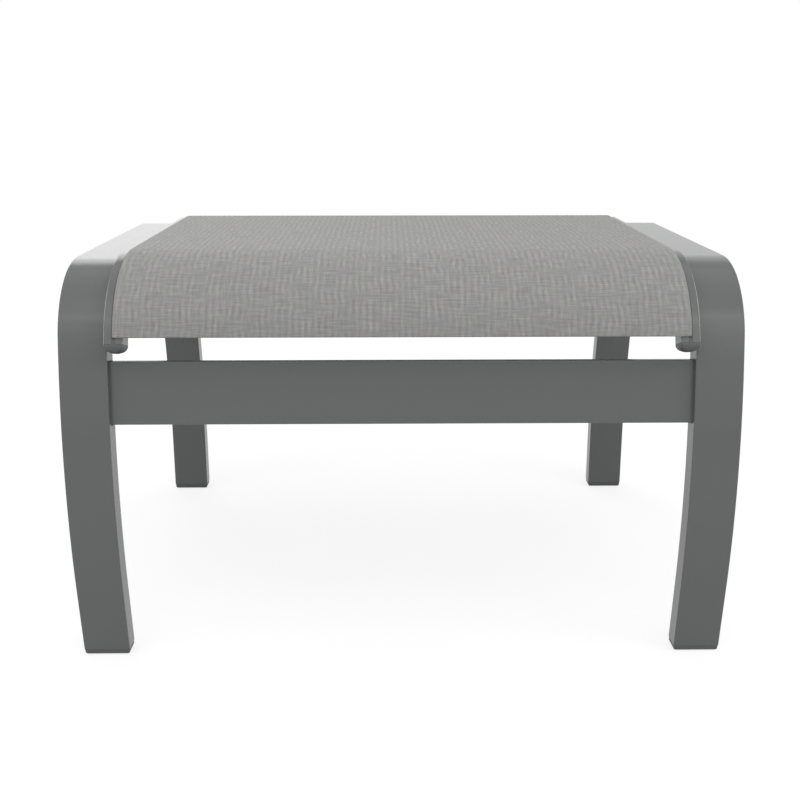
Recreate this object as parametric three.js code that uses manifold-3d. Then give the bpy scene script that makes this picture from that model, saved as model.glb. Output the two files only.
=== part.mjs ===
// Outdoor ottoman footstool: a mesh sling held between two bent tube frames.
// Millimetres, +Z up, +X to the right, the front faces -Y. The origin lies on the floor below the middle.
import * as THREE from "three";
import { mergeVertices } from "three/addons/utils/BufferGeometryUtils.js";
import Module from "manifold-3d";

const wasm = await Module();
wasm.setup();

// Driving dimensions of the whole piece
const OVERALL_WIDTH = 640;
const FRAME_HEIGHT = 387; // floor to the top face of the side frames
const TOP_FLAT = 257; // straight stretch along the top of a side frame

// Side frames: flat tube, wide face outwards, bent to an inverted U with bowed legs
const LEG_WIDTH = 45.5;
const LEG_DEPTH = 20;
const TUBE_WALL = 1.5;
const TUBE_CORNER_RADIUS = 1.2;
const BEND_RADIUS = 84; // at the outer face
const BEND_TURN = THREE.MathUtils.degToRad(76);
const BOW_RADIUS = 820; // at the outer face
const BOW_TURN = THREE.MathUtils.degToRad(17.7);
const TUBE_END_LEVEL = 6.5; // floor to the open end of a leg

// Crossbars: flat tube welded between the legs and leaning with them
const BAR_HEIGHT = 60;
const BAR_THICKNESS = 12;
const BAR_SETBACK = 7; // outer face of a leg to the outer face of a bar
const BAR_DROP = 114.5; // top of the side frames to the middle of a bar

// Sling rails: a grooved extrusion that stands a little above and before the side frames
const RAIL_WIDTH = 18;
const RAIL_DEPTH = 20;
const RAIL_GAP = 1.8; // side frame to rail, taken up by the flanges of the rivet nuts
const RAIL_RISE = 6.5; // rail above the top of the side frames
const RAIL_REACH = 6.5; // how much further forward the rail starts to bend
const RAIL_RADIUS_EXTRA = 13; // rail bend radius above that of the side frames
const RAIL_TURN = THREE.MathUtils.degToRad(70.5);
const RAIL_TAIL = 6.8; // straight end past the bend
const RAIL_WALL = 1.8;
const RAIL_CORNER_RADIUS = 1.5;
const GROOVE_RADIUS = 3.4; // round bore that holds the hem
const GROOVE_MOUTH = 2.6; // slot in the outer face that the fabric passes
const GROOVE_DEPTH = 4.9; // outer face to the middle of the bore

// Domed plugs in the ends of the rails
const CAP_LENGTH = 8;
const CAP_FILLET = 7.6;

// Sling: one woven sheet, with a hem at each long edge round a rod
const FABRIC_THICKNESS = 1.85;
const FABRIC_CLEARANCE = 0.35;
const NECK_THICKNESS = 1.8; // both layers of the hem where they pass the groove's mouth
const HEM_RADIUS = 3;
const HEM_THICKNESS = 1.1;
const SPLINE_CLEARANCE = 0.3;
const SLING_TAIL = 1.5; // straight end past the bend, above the end of the rail
const SPLINE_INSET = 2; // rod short of the fabric's edge

// Glides: moulded plugs in the open ends of the legs
const GLIDE_INSET = 0.8; // foot inside the outline of the tube
const GLIDE_FILLET = 3.5;
const GLIDE_STEM_LENGTH = 24;
const GLIDE_FIN_HEIGHT = 3;
const GLIDE_FIN_DEPTH = 1.6; // fin tip proud of the stem's core
const GLIDE_FINS = 3;

// Spreader bars: flat tube with a plate at each end, bolted inside the rails
const SPREADER_WIDTH = 30;
const SPREADER_THICKNESS = 12;
const SPREADER_WALL = 1.5;
const SPREADER_DROP = 4; // underside of the rails to the top of a spreader bar
const SPREADER_OFFSET = 100; // middle of the ottoman to the middle of a spreader bar
const PLATE_THICKNESS = 2.5;
const PLATE_MARGIN = 8; // bolt axis to the top of a plate
const PLATE_CORNER_RADIUS = 3;
const VENT_RADIUS = 2.5; // drain hole under each spreader bar

// Bolts, washers and rivet nuts
const BOLT_RADIUS = 3;
const BOLT_CLEARANCE = 0.3;
const BOLT_HEAD_RADIUS = 5.25;
const BOLT_HEAD_HEIGHT = 3.3;
const BOLT_HEAD_CHAMFER = 1.1;
const SOCKET_RADIUS = 2.3; // middle to a corner of the hexagon
const SOCKET_DEPTH = 2;
const THREAD_REACH = 9; // bolt past the inner face of the side frame
const WASHER_RADIUS = 6;
const WASHER_THICKNESS = 1.2;
const NUT_FLANGE_RADIUS = 5.3;
const NUT_FLANGE_THICKNESS = 1;
const NUT_BODY_RADIUS = 4.3;
const NUT_BULGE_RADIUS = 5.2;
const NUT_BULGE_LENGTH = 2.5;
const NUT_LENGTH = 12; // flange to the blind end, past the wall of the side frame

// Clearances and the overrun of cuts
const SEAT_GAP = 0.3; // between faces that touch on the real piece
const OVERRUN = 1;

// Facets
const BEND_STEPS = 8;
const BOW_STEPS = 6;
const ROUND_SIDES = 12;
const HEXAGON_SIDES = 6;
const QUARTER_FACETS = ROUND_SIDES / 4;
const CORNER_FACETS = 1;
const DOME_STEPS = 4;

// Places worked out from the sizes above
const INNER_FACE_X = OVERALL_WIDTH / 2 - LEG_WIDTH;
const FRAME_CENTRE_X = OVERALL_WIDTH / 2 - LEG_WIDTH / 2;
const RAIL_CENTRE_X = INNER_FACE_X - RAIL_GAP - RAIL_WIDTH / 2;
const RAIL_INNER_X = RAIL_CENTRE_X - RAIL_WIDTH / 2;
const RAIL_TOP = FRAME_HEIGHT + RAIL_RISE;
const CHAMBER_TOP = GROOVE_DEPTH + GROOVE_RADIUS + RAIL_WALL; // depths below the rail's outer face
const CHAMBER_BOTTOM = RAIL_DEPTH - RAIL_WALL;
const BOLT_LEVEL = RAIL_TOP - (CHAMBER_TOP + CHAMBER_BOTTOM) / 2;
const SPREADER_TOP = RAIL_TOP - RAIL_DEPTH - SPREADER_DROP;
const PLATE_OUTER_X = RAIL_INNER_X - SEAT_GAP;

// Finishes
const coat = { color: 0x6a6d6b, roughness: 0.45, metalness: 0.35 };
const fabric = { color: 0x9c9d97, roughness: 0.85, metalness: 0 };
const plastic = { color: 0x5c5f5e, roughness: 0.55, metalness: 0 };
const steel = { color: 0xb4b6b8, roughness: 0.3, metalness: 0.9 };
const rod = { color: 0xd8d8d4, roughness: 0.6, metalness: 0 };

// Solids and meshes

function toSolid(geometry) {
  const bare = geometry.clone();
  bare.deleteAttribute("normal");
  bare.deleteAttribute("uv");
  const merged = mergeVertices(bare);
  return new wasm.Manifold(
    new wasm.Mesh({
      numProp: 3,
      vertProperties: merged.attributes.position.array,
      triVerts: new Uint32Array(merged.index.array),
    }),
  );
}

function toGeometry(solid) {
  const made = solid.getMesh();
  const geometry = new THREE.BufferGeometry();
  geometry.setAttribute("position", new THREE.BufferAttribute(made.vertProperties, made.numProp));
  geometry.setIndex(new THREE.BufferAttribute(made.triVerts, 1));
  geometry.computeVertexNormals();
  return geometry;
}

function cut(geometry, tools) {
  let solid = toSolid(geometry);
  for (const tool of tools) solid = solid.subtract(toSolid(tool));
  return toGeometry(solid);
}

function join(geometries) {
  const [first, ...others] = geometries.map(toSolid);
  return toGeometry(others.reduce((whole, other) => whole.add(other), first));
}

const ottoman = new THREE.Group();

function addPiece(name, geometry, finish) {
  const mesh = new THREE.Mesh(geometry, new THREE.MeshStandardMaterial(finish));
  mesh.name = name;
  ottoman.add(mesh);
  return mesh;
}

// Sections

// A rectangle with rounded corners about a middle point, as a Shape or as the Path of a hole.
function roundedRectangle(width, height, radius, middleU = 0, middleV = 0) {
  const shape = new THREE.Shape();
  const u = width / 2 - radius;
  const v = height / 2 - radius;
  shape.absarc(middleU + u, middleV - v, radius, -Math.PI / 2, 0);
  shape.absarc(middleU + u, middleV + v, radius, 0, Math.PI / 2);
  shape.absarc(middleU - u, middleV + v, radius, Math.PI / 2, Math.PI);
  shape.absarc(middleU - u, middleV - v, radius, Math.PI, (3 * Math.PI) / 2);
  shape.closePath();
  return shape;
}

function rectanglePath(width, height, middleU, middleV) {
  const path = new THREE.Path();
  path.moveTo(middleU - width / 2, middleV - height / 2);
  path.lineTo(middleU + width / 2, middleV - height / 2);
  path.lineTo(middleU + width / 2, middleV + height / 2);
  path.lineTo(middleU - width / 2, middleV + height / 2);
  path.closePath();
  return path;
}

function circlePath(radius, middleU, middleV) {
  const path = new THREE.Path();
  path.absarc(middleU, middleV, radius, 0, 2 * Math.PI);
  return path;
}

function tubeSection(width, depth, wall, middleU, middleV) {
  const shape = roundedRectangle(width, depth, TUBE_CORNER_RADIUS, middleU, middleV);
  shape.holes.push(rectanglePath(width - 2 * wall, depth - 2 * wall, middleU, middleV));
  return shape;
}

// Sweeps

// Extrudes a section one unit a step, then lays each step at its place. A place turns a point (u, v) of
// the section into a point of the part.
function swept(section, places, facets = CORNER_FACETS) {
  const steps = places.length - 1;
  const geometry = new THREE.ExtrudeGeometry(section, {
    depth: steps,
    steps,
    bevelEnabled: false,
    curveSegments: facets,
  });
  const position = geometry.attributes.position;
  for (let i = 0; i < position.count; i++) {
    const place = places[Math.round(position.getZ(i))];
    const point = place(position.getX(i), position.getY(i));
    position.setXYZ(i, point.x, point.y, point.z);
  }
  geometry.computeVertexNormals();
  return geometry;
}

function straightAlongX(from, to, middleY = 0) {
  return [from, to].map((x) => (u, v) => new THREE.Vector3(x, middleY + u, v));
}

// Bent members. A station is a point on the outer face, with the way outwards, in the YZ plane.

function station(y, z, heading) {
  return { y, z, heading, outY: -Math.sin(heading), outZ: Math.cos(heading) };
}

// Stations of the front half, from the end of the flat top, through arcs, to a straight tail.
function frontStations(flat, top, arcs, tail) {
  const stations = [station(-flat / 2, top, 0)];
  for (const { radius, turn, steps } of arcs) {
    const { y, z, heading } = stations.at(-1);
    for (let i = 1; i <= steps; i++) {
      const next = heading + (turn * i) / steps;
      stations.push(
        station(
          y - radius * (Math.sin(next) - Math.sin(heading)),
          z - radius * (Math.cos(heading) - Math.cos(next)),
          next,
        ),
      );
    }
  }
  const { y, z, heading } = stations.at(-1);
  const run = tail(z, heading);
  stations.push(station(y - run * Math.cos(heading), z - run * Math.sin(heading), heading));
  return stations;
}

function mirrored({ y, z, heading, outY, outZ }) {
  return { y: -y, z, heading: -heading, outY: -outY, outZ };
}

// Both halves, from the rear end to the front end, as places for a section whose v points outwards.
function bentPlaces(half) {
  const whole = [...half.map(mirrored).reverse(), ...half];
  return whole.map(
    ({ y, z, outY, outZ }) => (u, v) => new THREE.Vector3(u, y + outY * v, z + outZ * v),
  );
}

const frameArcs = [
  { radius: BEND_RADIUS, turn: BEND_TURN, steps: BEND_STEPS },
  { radius: BOW_RADIUS, turn: BOW_TURN, steps: BOW_STEPS },
];

// The tail runs to a level, and its end is cut level.
function frameStations(endLevel) {
  const half = frontStations(
    TOP_FLAT,
    FRAME_HEIGHT,
    frameArcs,
    (z, heading) => (z - endLevel) / Math.sin(heading),
  );
  const end = half.at(-1);
  end.outY = -1 / Math.sin(end.heading);
  end.outZ = 0;
  return half;
}

function railStations(tail) {
  const bend = { radius: BEND_RADIUS + RAIL_RADIUS_EXTRA, turn: RAIL_TURN, steps: BEND_STEPS };
  return frontStations(TOP_FLAT + 2 * RAIL_REACH, RAIL_TOP, [bend], () => tail);
}

// A point on the outer face of the front leg's bow at a level, with its heading.
function bowStation(level) {
  const startY = -TOP_FLAT / 2 - BEND_RADIUS * Math.sin(BEND_TURN);
  const startZ = FRAME_HEIGHT - BEND_RADIUS * (1 - Math.cos(BEND_TURN));
  const heading = Math.acos(Math.cos(BEND_TURN) - (startZ - level) / BOW_RADIUS);
  return station(startY - BOW_RADIUS * (Math.sin(heading) - Math.sin(BEND_TURN)), level, heading);
}

// Round parts

// A disc or rod along +X, from one x to another.
function cylinderAlongX(radius, from, to, sides = ROUND_SIDES) {
  const geometry = new THREE.CylinderGeometry(radius, radius, to - from, sides);
  geometry.rotateZ(-Math.PI / 2);
  geometry.translate((from + to) / 2, 0, 0);
  return geometry;
}

// A turned part along +X, from a closed profile of [x, radius] points, with the bore or axis given first
// in the +X direction.
function turnedAlongX(profile) {
  const points = [...profile, profile[0]].map(([x, radius]) => new THREE.Vector2(radius, x));
  points.reverse();
  const geometry = new THREE.LatheGeometry(points, ROUND_SIDES);
  geometry.rotateZ(-Math.PI / 2);
  return geometry;
}

// The bolt positions along a rail, and which of them pass through a spreader bar's plate
const boltPlaces = [
  { label: "front", y: -SPREADER_OFFSET, plate: true },
  { label: "middle", y: 0, plate: false },
  { label: "rear", y: SPREADER_OFFSET, plate: true },
];
const sides = [
  { label: "left", sign: -1 },
  { label: "right", sign: 1 },
];
const ends = [
  { label: "front", sign: 1 },
  { label: "rear", sign: -1 },
];

// Cutting rods through a member at each bolt, for the right-hand side.
function boltHoles(radius, from, to) {
  return boltPlaces.map(({ y }) => cylinderAlongX(radius, from, to).translate(0, y, BOLT_LEVEL));
}

// Turns a piece made for the right-hand side to the left by half a turn about Z.
function placeOnSide(mesh, sign) {
  if (sign < 0) mesh.rotation.z = Math.PI;
  return mesh;
}

// Side frames

function sideFrame() {
  const section = tubeSection(LEG_WIDTH, LEG_DEPTH, TUBE_WALL, FRAME_CENTRE_X, -LEG_DEPTH / 2);
  const tube = swept(section, bentPlaces(frameStations(TUBE_END_LEVEL)));
  const holeRadius = NUT_BODY_RADIUS + BOLT_CLEARANCE;
  return cut(
    tube,
    boltHoles(holeRadius, INNER_FACE_X - OVERRUN, INNER_FACE_X + TUBE_WALL + OVERRUN),
  );
}

for (const { label, sign } of sides)
  placeOnSide(addPiece(label + "_side_frame", sideFrame(), coat), sign);

// Crossbars

function crossbar() {
  const middle = bowStation(FRAME_HEIGHT - BAR_DROP);
  const middleV = -BAR_SETBACK - BAR_THICKNESS / 2;
  const section = tubeSection(BAR_HEIGHT, BAR_THICKNESS, TUBE_WALL, 0, middleV);
  const reach = INNER_FACE_X - SEAT_GAP;
  // u runs up along the leg and v outwards from it
  const places = [-reach, reach].map(
    (x) => (u, v) =>
      new THREE.Vector3(
        x,
        middle.y + u * middle.outZ + v * middle.outY,
        middle.z - u * middle.outY + v * middle.outZ,
      ),
  );
  return swept(section, places);
}

for (const { label, sign } of ends)
  placeOnSide(addPiece(label + "_crossbar", crossbar(), coat), sign);

// Sling rails

// The extrusion's section, with v at zero on the outer face: a keyhole groove over a hollow chamber.
function railSection() {
  const half = RAIL_WIDTH / 2;
  const mouth = GROOVE_MOUTH / 2;
  const lip = Math.asin(mouth / GROOVE_RADIUS);
  const corner = RAIL_CORNER_RADIUS;
  const shape = new THREE.Shape();
  shape.moveTo(-mouth, 0);
  shape.absarc(-half + corner, -corner, corner, Math.PI / 2, Math.PI);
  shape.absarc(-half + corner, corner - RAIL_DEPTH, corner, Math.PI, (3 * Math.PI) / 2);
  shape.absarc(half - corner, corner - RAIL_DEPTH, corner, -Math.PI / 2, 0);
  shape.absarc(half - corner, -corner, corner, 0, Math.PI / 2);
  shape.lineTo(mouth, 0);
  for (let i = 0; i <= ROUND_SIDES; i++) {
    const angle = Math.PI / 2 - lip - ((2 * Math.PI - 2 * lip) * i) / ROUND_SIDES;
    shape.lineTo(GROOVE_RADIUS * Math.cos(angle), GROOVE_RADIUS * Math.sin(angle) - GROOVE_DEPTH);
  }
  shape.closePath();
  shape.holes.push(
    rectanglePath(
      RAIL_WIDTH - 2 * RAIL_WALL,
      CHAMBER_BOTTOM - CHAMBER_TOP,
      0,
      -(CHAMBER_TOP + CHAMBER_BOTTOM) / 2,
    ),
  );
  return shape;
}

function slingRail() {
  const places = bentPlaces(railStations(RAIL_TAIL));
  const rail = swept(railSection(), places).translate(RAIL_CENTRE_X, 0, 0);
  const holeRadius = BOLT_RADIUS + BOLT_CLEARANCE;
  return cut(
    rail,
    boltHoles(holeRadius, RAIL_INNER_X - OVERRUN, RAIL_INNER_X + RAIL_WIDTH + OVERRUN),
  );
}

for (const { label, sign } of sides)
  placeOnSide(addPiece(label + "_sling_rail", slingRail(), coat), sign);

// Rail end caps

// Insets of a rounded end, as [distance along the axis, inset from the outline], to a quarter circle.
function domeLevels(length, fillet) {
  const levels = [];
  for (let i = 1; i <= DOME_STEPS; i++) {
    const angle = (Math.PI / 2) * (i / DOME_STEPS);
    levels.push([length - fillet + fillet * Math.sin(angle), fillet * (1 - Math.cos(angle))]);
  }
  return levels;
}

// A keyhole tongue that fills the groove's end, below the rail's outer face at v zero.
function tongueSection() {
  const radius = GROOVE_RADIUS - SEAT_GAP;
  const neck = GROOVE_MOUTH / 2 - SEAT_GAP;
  const waist = Math.asin(neck / radius);
  const shape = new THREE.Shape();
  shape.moveTo(neck, -SEAT_GAP);
  shape.lineTo(-neck, -SEAT_GAP);
  for (let i = 0; i <= ROUND_SIDES; i++) {
    const angle = Math.PI / 2 + waist + ((2 * Math.PI - 2 * waist) * i) / ROUND_SIDES;
    shape.lineTo(radius * Math.cos(angle), radius * Math.sin(angle) - GROOVE_DEPTH);
  }
  shape.closePath();
  return shape;
}

// The cap at the front end of a rail: its dome, a stem in the chamber as far as the rail is straight, and
// a tongue in the groove that stops the rod from sliding out.
function railEndCap() {
  const end = railStations(RAIL_TAIL).at(-1);
  const middle = RAIL_DEPTH / 2;
  const at = (distance, u, v) =>
    new THREE.Vector3(
      u,
      end.y + end.outY * v - end.outZ * distance,
      end.z + end.outZ * v + end.outY * distance,
    );
  const domePlaces = [[SEAT_GAP, 0], ...domeLevels(CAP_LENGTH, CAP_FILLET)].map(
    ([distance, inset]) => (u, v) =>
      at(
        distance,
        u * (1 - inset / (RAIL_WIDTH / 2)),
        v * (1 - inset / middle) - middle,
      ),
  );
  const dome = swept(roundedRectangle(RAIL_WIDTH, RAIL_DEPTH, RAIL_CORNER_RADIUS), domePlaces);
  const stemSection = new THREE.Shape(
    rectanglePath(
      RAIL_WIDTH - 2 * RAIL_WALL - 2 * SEAT_GAP,
      CHAMBER_BOTTOM - CHAMBER_TOP - 2 * SEAT_GAP,
      0,
      -(CHAMBER_TOP + CHAMBER_BOTTOM) / 2,
    ).getPoints(),
  );
  const stemEnds = [-RAIL_TAIL, SEAT_GAP + OVERRUN];
  const stem = swept(stemSection, stemEnds.map((distance) => (u, v) => at(distance, u, v)));
  const tongueEnds = [SLING_TAIL + SEAT_GAP - RAIL_TAIL, SEAT_GAP + OVERRUN];
  const tongue = swept(
    tongueSection(),
    tongueEnds.map((distance) => (u, v) => at(distance, u, v)),
  );
  return join([dome, stem, tongue]);
}

for (const side of sides)
  for (const end of ends) {
    const cap = railEndCap();
    cap.translate(side.sign * end.sign * RAIL_CENTRE_X, 0, 0);
    placeOnSide(addPiece(end.label + "_" + side.label + "_rail_cap", cap, plastic), end.sign);
  }

// Sling fabric and its rods

// The sheet's section from rail to rail, with v at zero on the rails' outer faces. Each edge turns down
// through the groove's mouth and closes in a hem round its rod.
function slingSection() {
  const top = FABRIC_CLEARANCE + FABRIC_THICKNESS;
  const neck = NECK_THICKNESS / 2;
  const waist = Math.asin(neck / HEM_RADIUS);
  const shape = new THREE.Shape();
  shape.moveTo(neck - RAIL_CENTRE_X, FABRIC_CLEARANCE);
  shape.lineTo(RAIL_CENTRE_X - neck, FABRIC_CLEARANCE);
  const hem = (middle) => {
    for (let i = 0; i <= ROUND_SIDES; i++) {
      const angle = Math.PI / 2 + waist + ((2 * Math.PI - 2 * waist) * i) / ROUND_SIDES;
      shape.lineTo(
        middle + HEM_RADIUS * Math.cos(angle),
        HEM_RADIUS * Math.sin(angle) - GROOVE_DEPTH,
      );
    }
  };
  const shoulder = (sign, start, end) =>
    shape.absarc(
      sign * (RAIL_CENTRE_X + neck - FABRIC_THICKNESS),
      FABRIC_CLEARANCE,
      FABRIC_THICKNESS,
      start,
      end,
    );
  hem(RAIL_CENTRE_X);
  shoulder(1, 0, Math.PI / 2);
  shape.lineTo(0, top);
  shoulder(-1, Math.PI / 2, Math.PI);
  hem(-RAIL_CENTRE_X);
  shape.closePath();
  for (const { sign } of sides)
    shape.holes.push(
      circlePath(HEM_RADIUS - HEM_THICKNESS, sign * RAIL_CENTRE_X, -GROOVE_DEPTH),
    );
  return shape;
}

addPiece(
  "sling_fabric",
  swept(slingSection(), bentPlaces(railStations(SLING_TAIL)), QUARTER_FACETS),
  fabric,
);

function spline(sign) {
  const radius = HEM_RADIUS - HEM_THICKNESS - SPLINE_CLEARANCE;
  const section = new THREE.Shape();
  section.absarc(sign * RAIL_CENTRE_X, -GROOVE_DEPTH, radius, 0, 2 * Math.PI);
  return swept(section, bentPlaces(railStations(SLING_TAIL - SPLINE_INSET)), QUARTER_FACETS);
}

for (const { label, sign } of sides) addPiece(label + "_spline", spline(sign), rod);

// Glides

// The plug of the front right leg: a rounded foot below the tube and a finned stem inside it, leaning as
// the leg does.
function glide() {
  const end = frameStations(0).at(-1);
  const depth = LEG_DEPTH * Math.abs(end.outY);
  const lean = end.outZ + Math.cos(end.heading) / Math.sin(end.heading);
  const footTop = TUBE_END_LEVEL - SEAT_GAP;
  const coreInset = TUBE_WALL + SEAT_GAP + GLIDE_FIN_DEPTH;
  const levels = [];
  for (let i = 0; i < DOME_STEPS; i++) {
    const angle = (Math.PI / 2) * (i / (DOME_STEPS - 1));
    const rise = GLIDE_FILLET * (1 - Math.cos(angle));
    levels.push([rise, GLIDE_INSET + GLIDE_FILLET * (1 - Math.sin(angle))]);
  }
  levels.push([footTop, GLIDE_INSET], [footTop, coreInset]);
  const pitch = GLIDE_STEM_LENGTH / (GLIDE_FINS + 1);
  for (let i = 1; i <= GLIDE_FINS; i++) {
    const level = footTop + pitch * i;
    levels.push([level, coreInset], [level, coreInset - GLIDE_FIN_DEPTH]);
    levels.push([level + GLIDE_FIN_HEIGHT, coreInset]);
  }
  levels.push([footTop + GLIDE_STEM_LENGTH, coreInset]);
  const places = levels.map(([level, inset]) => (u, v) =>
    new THREE.Vector3(
      FRAME_CENTRE_X + u * (1 - inset / (LEG_WIDTH / 2)),
      end.y + depth / 2 + v * (1 - inset / (depth / 2)) + level * lean,
      level,
    ),
  );
  return swept(roundedRectangle(LEG_WIDTH, depth, TUBE_CORNER_RADIUS), places);
}

for (const side of sides)
  for (const end of ends) {
    const plug = glide();
    if (side.sign * end.sign < 0) plug.translate(-2 * FRAME_CENTRE_X, 0, 0);
    placeOnSide(addPiece(end.label + "_" + side.label + "_glide", plug, plastic), end.sign);
  }

// Spreader bars

function spreaderBar() {
  const middle = SPREADER_TOP - SPREADER_THICKNESS / 2;
  const reach = PLATE_OUTER_X - PLATE_THICKNESS / 2;
  const bar = swept(
    tubeSection(SPREADER_WIDTH, SPREADER_THICKNESS, SPREADER_WALL, 0, middle),
    straightAlongX(-reach, reach),
  );
  const plateTop = BOLT_LEVEL + PLATE_MARGIN;
  const plateBottom = SPREADER_TOP - SPREADER_THICKNESS;
  const plateSection = roundedRectangle(
    SPREADER_WIDTH,
    plateTop - plateBottom,
    PLATE_CORNER_RADIUS,
    0,
    (plateTop + plateBottom) / 2,
  );
  const plates = [
    [-PLATE_OUTER_X, PLATE_THICKNESS - PLATE_OUTER_X],
    [PLATE_OUTER_X - PLATE_THICKNESS, PLATE_OUTER_X],
  ].map(([from, to]) => swept(plateSection, straightAlongX(from, to)));
  const bore = cylinderAlongX(
    BOLT_RADIUS + BOLT_CLEARANCE,
    -PLATE_OUTER_X - OVERRUN,
    PLATE_OUTER_X + OVERRUN,
  ).translate(0, 0, BOLT_LEVEL);
  const vent = new THREE.CylinderGeometry(
    VENT_RADIUS,
    VENT_RADIUS,
    SPREADER_WALL + 2 * OVERRUN,
    ROUND_SIDES,
  );
  vent.rotateX(Math.PI / 2).translate(0, 0, plateBottom + SPREADER_WALL / 2);
  return cut(join([bar, ...plates]), [bore, vent]);
}

for (const { label, sign } of ends)
  addPiece(label + "_spreader_bar", spreaderBar(), coat).position.y = -sign * SPREADER_OFFSET;

// Bolts, washers and rivet nuts, made for the right-hand side and pointing outwards

function bolt(seatX) {
  const headFace = seatX - BOLT_HEAD_HEIGHT;
  const tip = INNER_FACE_X + THREAD_REACH;
  const body = turnedAlongX([
    [headFace, 0],
    [tip, 0],
    [tip, BOLT_RADIUS],
    [seatX, BOLT_RADIUS],
    [seatX, BOLT_HEAD_RADIUS],
    [headFace + BOLT_HEAD_CHAMFER, BOLT_HEAD_RADIUS],
    [headFace, BOLT_HEAD_RADIUS - BOLT_HEAD_CHAMFER],
  ]);
  const socket = cylinderAlongX(
    SOCKET_RADIUS,
    headFace - OVERRUN,
    headFace + SOCKET_DEPTH,
    HEXAGON_SIDES,
  );
  return cut(body, [socket]);
}

function washer(seatX) {
  const bore = BOLT_RADIUS + BOLT_CLEARANCE;
  return turnedAlongX([
    [seatX - WASHER_THICKNESS, bore],
    [seatX, bore],
    [seatX, WASHER_RADIUS],
    [seatX - WASHER_THICKNESS, WASHER_RADIUS],
  ]);
}

function rivetNut() {
  const bore = BOLT_RADIUS + BOLT_CLEARANCE;
  const wallFace = INNER_FACE_X + TUBE_WALL + SEAT_GAP;
  return turnedAlongX([
    [INNER_FACE_X - SEAT_GAP - NUT_FLANGE_THICKNESS, bore],
    [INNER_FACE_X + NUT_LENGTH, bore],
    [INNER_FACE_X + NUT_LENGTH, NUT_BODY_RADIUS],
    [wallFace + NUT_BULGE_LENGTH, NUT_BODY_RADIUS],
    [wallFace + NUT_BULGE_LENGTH / 2, NUT_BULGE_RADIUS],
    [wallFace, NUT_BODY_RADIUS],
    [INNER_FACE_X - SEAT_GAP, NUT_BODY_RADIUS],
    [INNER_FACE_X - SEAT_GAP, NUT_FLANGE_RADIUS],
    [INNER_FACE_X - SEAT_GAP - NUT_FLANGE_THICKNESS, NUT_FLANGE_RADIUS],
  ]);
}

for (const { label, sign } of sides)
  for (const { label: place, y, plate } of boltPlaces) {
    const seat = plate ? PLATE_OUTER_X - PLATE_THICKNESS - SEAT_GAP : RAIL_INNER_X - SEAT_GAP;
    const fasteners = [
      ["rail_bolt", bolt(seat - WASHER_THICKNESS - SEAT_GAP), steel],
      ["washer", washer(seat), steel],
      ["rivet_nut", rivetNut(), steel],
    ];
    for (const [kind, geometry, finish] of fasteners) {
      const mesh = addPiece(place + "_" + label + "_" + kind, geometry, finish);
      placeOnSide(mesh, sign).position.set(0, y, BOLT_LEVEL);
    }
  }

export default ottoman;
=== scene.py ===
import math
from functools import cache

import bpy
from bpy.props import FloatProperty, FloatVectorProperty, PointerProperty
from mathutils import Matrix, Vector
from mathutils.geometry import delaunay_2d_cdt


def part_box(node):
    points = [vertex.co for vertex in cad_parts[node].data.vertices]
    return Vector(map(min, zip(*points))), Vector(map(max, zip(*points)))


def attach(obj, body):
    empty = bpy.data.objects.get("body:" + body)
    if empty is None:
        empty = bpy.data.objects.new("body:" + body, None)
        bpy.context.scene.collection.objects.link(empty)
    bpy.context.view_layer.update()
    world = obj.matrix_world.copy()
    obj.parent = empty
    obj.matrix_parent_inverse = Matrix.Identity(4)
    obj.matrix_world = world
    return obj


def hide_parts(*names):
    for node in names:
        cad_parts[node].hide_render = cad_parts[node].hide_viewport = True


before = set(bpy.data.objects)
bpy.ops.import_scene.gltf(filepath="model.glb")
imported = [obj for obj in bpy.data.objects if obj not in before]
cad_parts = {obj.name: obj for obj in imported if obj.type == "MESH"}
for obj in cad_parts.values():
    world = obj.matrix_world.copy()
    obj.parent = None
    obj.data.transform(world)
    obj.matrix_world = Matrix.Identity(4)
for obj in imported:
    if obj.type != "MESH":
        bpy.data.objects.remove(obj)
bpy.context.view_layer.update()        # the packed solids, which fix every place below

bl_info = {
    "name": "Sling Ottoman",
    "version": (1, 0, 0),
    "blender": (4, 5, 0),
    "location": "View3D > Sidebar > Ottoman",
    "description": "Makes the tubes, rails, sling and fittings of a patio footstool",
    "category": "Object",
}

BODY = "root"
SIDES = (("left", -1), ("right", 1))
ENDS = (("front", -1), ("rear", 1))
QUARTER = math.pi / 2
FULL = 2 * math.pi
SHARP = math.radians(34)
MM = 0.001
EDGE_RUN = 0.0004        # a cut this close to a bend or corner keeps the flat beside it flat
BEND_STEPS, BOW_STEPS = 40, 24
RAIL_STEPS, SLING_STEPS = 38, 24
GROOVE_STEPS, RIB_POINTS = 28, 6
CHAMBER_CORNER = 0.0006


# Sizes and colours


def distance(name, description, millimetres):
    default = millimetres * MM
    return FloatProperty(
        name=name, description=description, default=default, min=0.0, precision=5, unit="LENGTH"
    )


def turning(name, description, degrees):
    default = math.radians(degrees)
    return FloatProperty(
        name=name, description=description, default=default, min=0.0, subtype="ANGLE"
    )


def share(name, description, default):
    return FloatProperty(name=name, description=description, default=default, min=0.0, max=2.0)


def colour(name, description, *tint):
    return FloatVectorProperty(
        name=name, description=description, default=(*tint, 1.0), size=4, min=0.0, max=1.0,
        subtype="COLOR",
    )


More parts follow.
